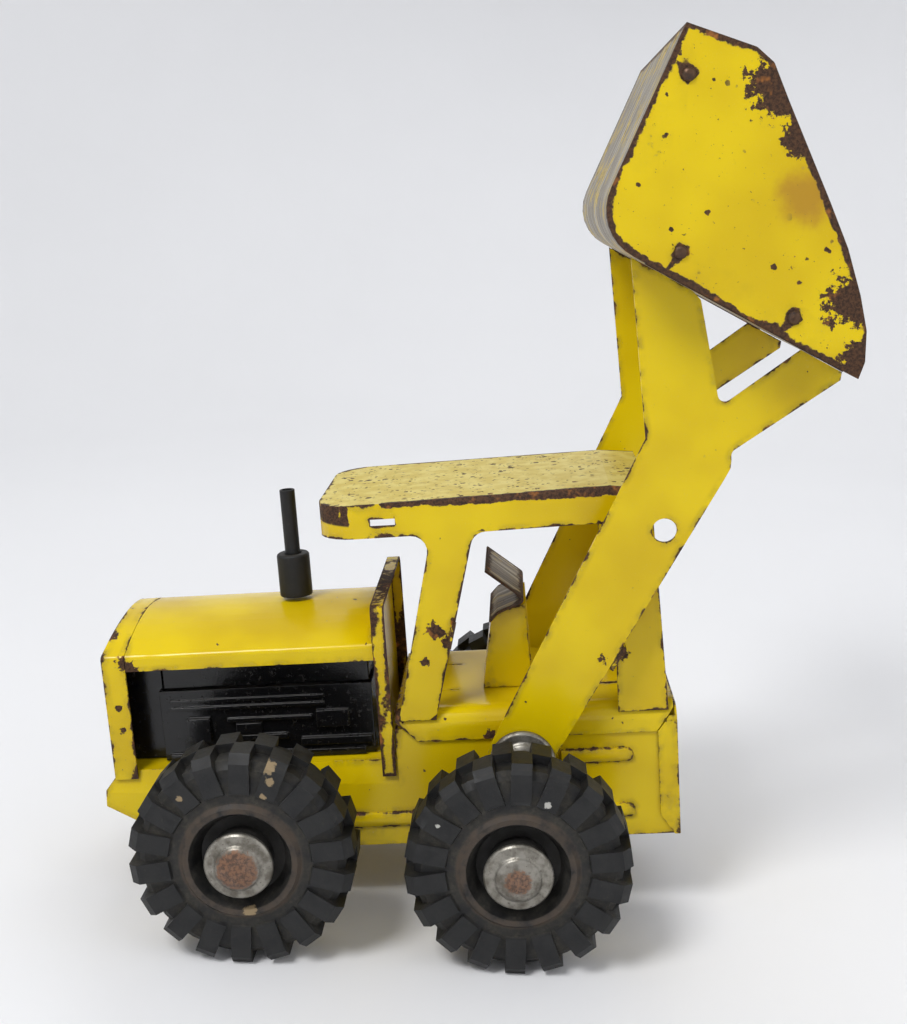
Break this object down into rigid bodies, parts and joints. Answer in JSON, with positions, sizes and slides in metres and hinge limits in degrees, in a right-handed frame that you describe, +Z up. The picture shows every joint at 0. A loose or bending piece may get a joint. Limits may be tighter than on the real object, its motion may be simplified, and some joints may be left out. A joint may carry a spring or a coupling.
{
  "type": "toy wheel loader",
  "caption": "Pressed-steel toy wheel loader with a bonnet, open cab, rubber wheels and a lift arm pair that swings a riveted bucket from over the cab down to the floor.",
  "frame": {"origin": "centre of the whole toy's bounding box in X and Y, on the floor", "axes": "+X to the rear of the vehicle (the raised bucket's side), +Y to its right-hand side as the camera sees the far side, +Z up"},
  "size_m": [0.3192, 0.224, 0.3869],
  "materials": {
    "yellow_paint": "worn gloss enamel, chipped to rust at the edges",
    "bucket_paint": "paint scratched away to bare and rusted steel",
    "seat_paint": "paint worn to bare brown-grey steel",
    "plain_steel": "dull, lightly rusted",
    "zinc": "dulled plating with rust patches",
    "tyre_rubber": "dusty, matte",
    "black_plastic": "dusty gloss"
  },
  "bodies": {
    "tractor": {"bonnet": "yellow_paint", "bulkhead": "yellow_paint", "cab_canopy": "yellow_paint", "chassis": "yellow_paint", "deck": "yellow_paint", "engine_block": "black_plastic", "engine_head": "black_plastic", "exhaust_collar": "black_plastic", "exhaust_pipe": "black_plastic", "radiator_grille": "black_plastic", "radiator_shell": "yellow_paint", "rear_end_plate": "yellow_paint", "seat": "seat_paint", "seat_riser": "yellow_paint"},
    "loader": {"arm_left": "yellow_paint", "arm_pivot_shaft": "zinc", "arm_right": "yellow_paint", "bucket_side_left": "yellow_paint", "bucket_side_right": "yellow_paint", "bucket_wrap": "bucket_paint", "pivot_cap_left": "zinc", "pivot_cap_right": "zinc", "pivot_spacer_left": "plain_steel", "pivot_spacer_right": "plain_steel", "rivet_left_1": "plain_steel", "rivet_left_2": "plain_steel", "rivet_left_3": "plain_steel", "rivet_right_1": "plain_steel", "rivet_right_2": "plain_steel", "rivet_right_3": "plain_steel"},
    "front_axle": {"axle_front": "zinc", "axle_spacer_front_left": "plain_steel", "axle_spacer_front_right": "plain_steel", "hub_cap_front_left": "zinc", "hub_cap_front_right": "zinc"},
    "rear_axle": {"axle_rear": "zinc", "axle_spacer_rear_left": "plain_steel", "axle_spacer_rear_right": "plain_steel", "hub_cap_rear_left": "zinc", "hub_cap_rear_right": "zinc"},
    "wheel_front_left": {"tyre_front_left": "tyre_rubber"},
    "wheel_front_right": {"tyre_front_right": "tyre_rubber"},
    "wheel_rear_left": {"tyre_rear_left": "tyre_rubber"},
    "wheel_rear_right": {"tyre_rear_right": "tyre_rubber"}
  },
  "joints": [
    {"name": "arm_lift", "type": "hinge", "parent": "tractor", "child": "loader", "pos_m": [0.03348, 0, 0.0781], "axis": [0, -1, 0], "range_deg": [0, 113.6]},
    {"name": "front_axle_spin", "type": "hinge", "parent": "tractor", "child": "front_axle", "pos_m": [-0.08468, 0, 0.048], "axis": [0, 1, 0], "continuous": true},
    {"name": "rear_axle_spin", "type": "hinge", "parent": "tractor", "child": "rear_axle", "pos_m": [0.03244, 0, 0.048], "axis": [0, 1, 0], "continuous": true},
    {"name": "wheel_front_left_spin", "type": "hinge", "parent": "front_axle", "child": "wheel_front_left", "pos_m": [-0.08468, 0, 0.048], "axis": [0, 1, 0], "continuous": true},
    {"name": "wheel_front_right_spin", "type": "hinge", "parent": "front_axle", "child": "wheel_front_right", "pos_m": [-0.08468, 0, 0.048], "axis": [0, 1, 0], "continuous": true},
    {"name": "wheel_rear_left_spin", "type": "hinge", "parent": "rear_axle", "child": "wheel_rear_left", "pos_m": [0.03244, 0, 0.048], "axis": [0, 1, 0], "continuous": true},
    {"name": "wheel_rear_right_spin", "type": "hinge", "parent": "rear_axle", "child": "wheel_rear_right", "pos_m": [0.03244, 0, 0.048], "axis": [0, 1, 0], "continuous": true}
  ]
}
